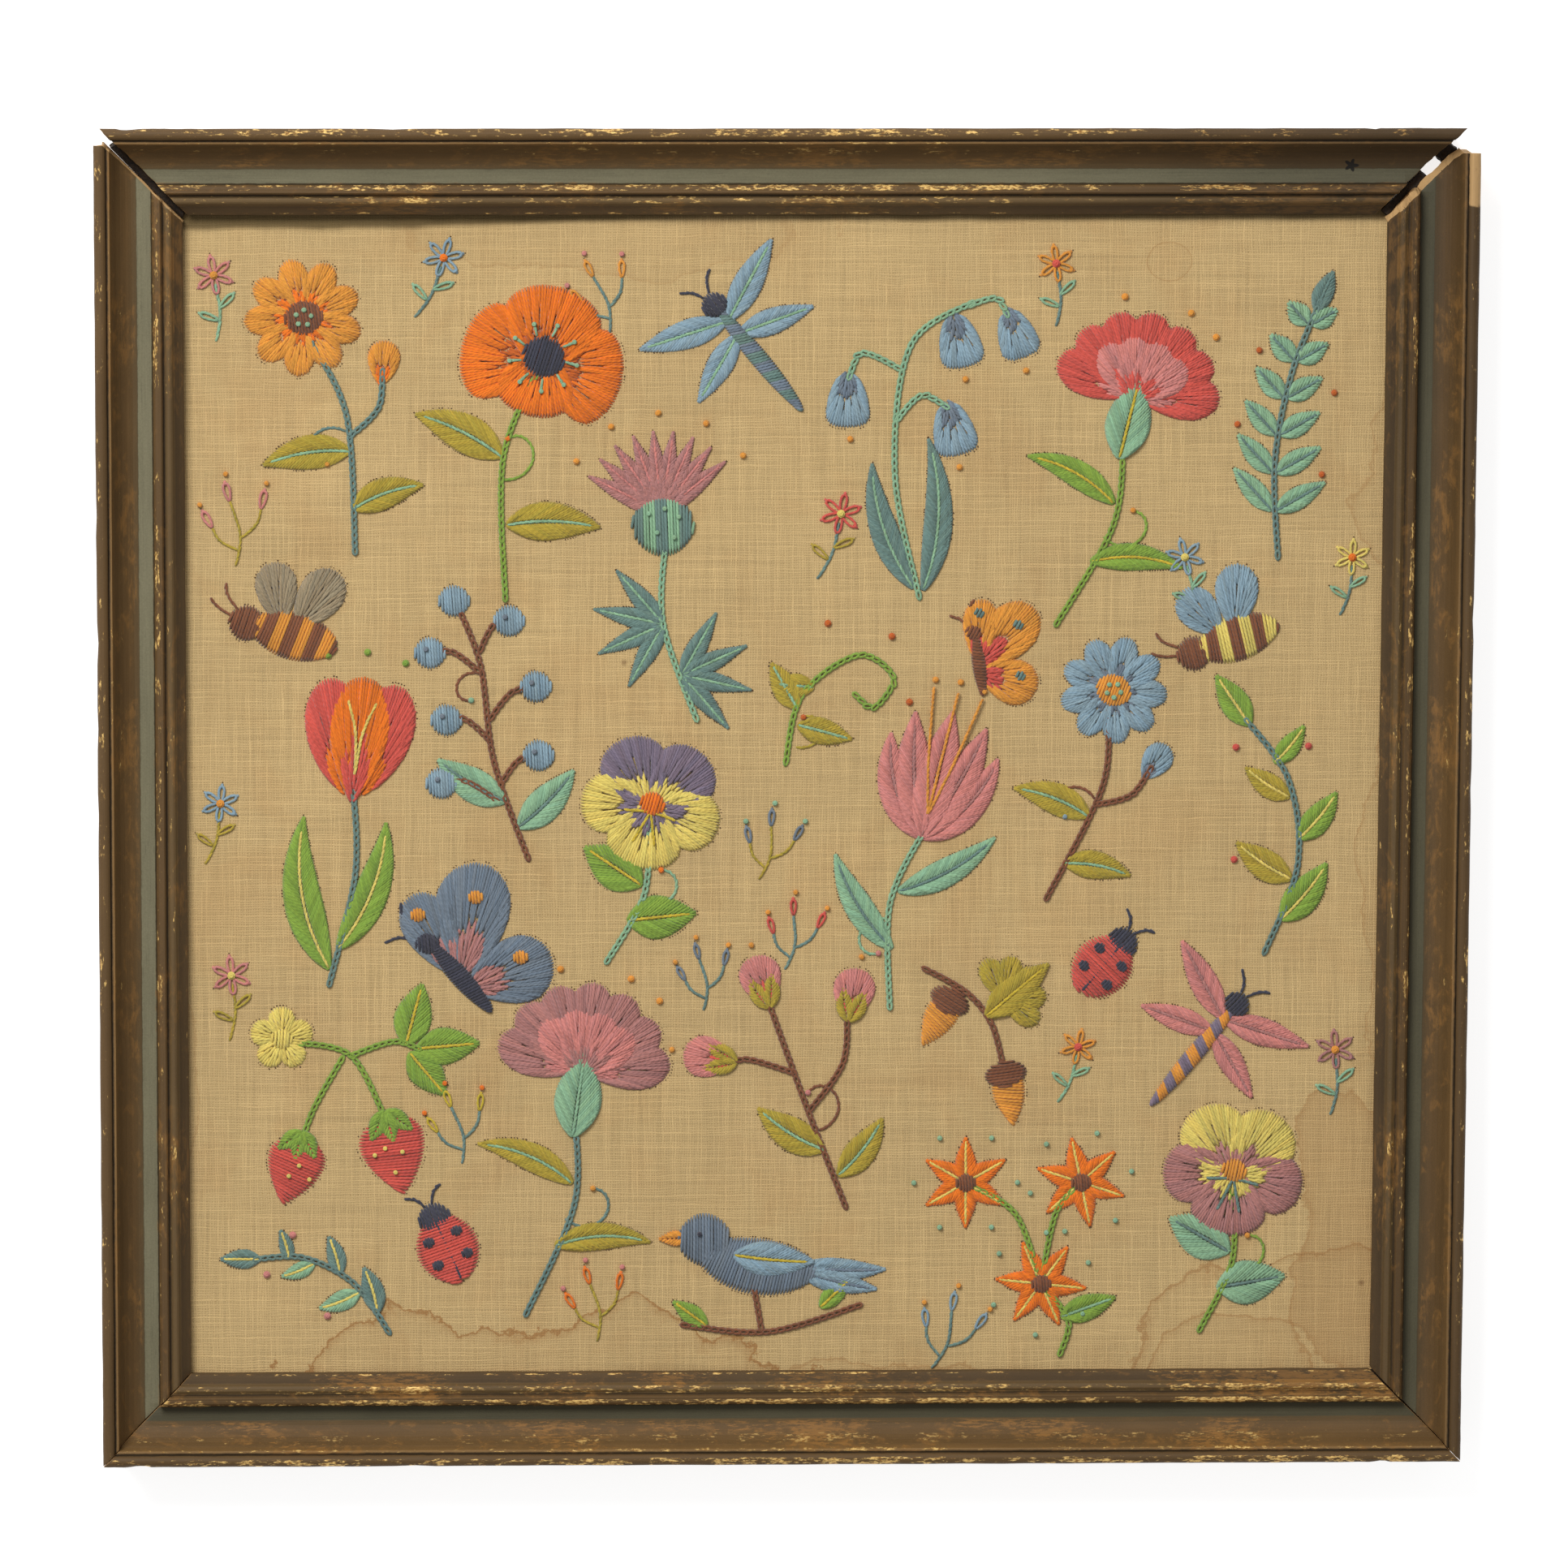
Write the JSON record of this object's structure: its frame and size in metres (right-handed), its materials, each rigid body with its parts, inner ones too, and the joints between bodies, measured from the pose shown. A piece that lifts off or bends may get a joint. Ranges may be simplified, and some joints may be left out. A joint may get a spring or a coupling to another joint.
{
  "type": "framed needlework sampler with its wood frame",
  "caption": "Shallow square picture to hang or stand: wool motifs stitched on linen, held in a worn moulded wood frame with opened upper mitres.",
  "frame": {"origin": "middle of the back, in the plane of the backs of the rails", "axes": "+X to the picture's right, +Y to the top of the picture, +Z out of the cloth towards the viewer; it lies on its back"},
  "size_m": [0.4602, 0.4466, 0.0258],
  "materials": {
    "gilt_wood": "dark umber moulding with a grey-green band and rubbed gilt beads, worn to bole and bare wood",
    "linen": "tan plain-weave linen, matt, with slubs and brown tide lines",
    "board": "brown wood-pulp board, matt",
    "wool_coral": "coral crewel wool in satin and chain stitch",
    "wool_rose": "rose crewel wool in satin and chain stitch",
    "wool_mauve": "dusty mauve crewel wool in satin and chain stitch",
    "wool_orange": "bright orange crewel wool in satin and chain stitch",
    "wool_gold": "golden crewel wool in satin and chain stitch",
    "wool_yellow": "pale yellow crewel wool in satin and chain stitch",
    "wool_green": "leaf green crewel wool in satin and chain stitch",
    "wool_mint": "mint crewel wool in satin and chain stitch",
    "wool_teal": "dusty teal crewel wool in satin and chain stitch",
    "wool_slate": "slate crewel wool in satin and chain stitch",
    "wool_blue": "powder blue crewel wool in satin and chain stitch"
  },
  "bodies": {
    "root": {"rail_top": "gilt_wood", "rail_bottom": "gilt_wood", "rail_left": "gilt_wood", "rail_right": "gilt_wood", "linen": "linen", "backing_board": "board", "motif_daisy_gold": "wool_gold", "motif_bee_west": "wool_gold", "motif_tulip_coral": "wool_coral", "motif_strawberries": "wool_coral", "motif_poppy_orange": "wool_orange", "motif_berries_blue": "wool_blue", "motif_butterfly_slate": "wool_slate", "motif_ladybird_west": "wool_coral", "motif_carnation_mauve": "wool_mauve", "motif_dragonfly_blue": "wool_blue", "motif_thistle_mauve": "wool_mauve", "motif_pansy_yellow": "wool_yellow", "motif_rosebuds_pink": "wool_rose", "motif_bird_slate": "wool_slate", "motif_bluebells": "wool_blue", "motif_tendril_green": "wool_green", "motif_butterfly_gold": "wool_gold", "motif_lily_rose": "wool_rose", "motif_acorns": "wool_gold", "motif_stars_orange": "wool_orange", "motif_carnation_coral": "wool_coral", "motif_daisy_blue": "wool_blue", "motif_ladybird_east": "wool_coral", "motif_fern_mint": "wool_mint", "motif_bee_east": "wool_yellow", "motif_leaf_sprig": "wool_green", "motif_dragonfly_rose": "wool_rose", "motif_pansy_mauve": "wool_mauve", "motif_leaf_sprig_teal": "wool_teal"}
  },
  "joints": []
}
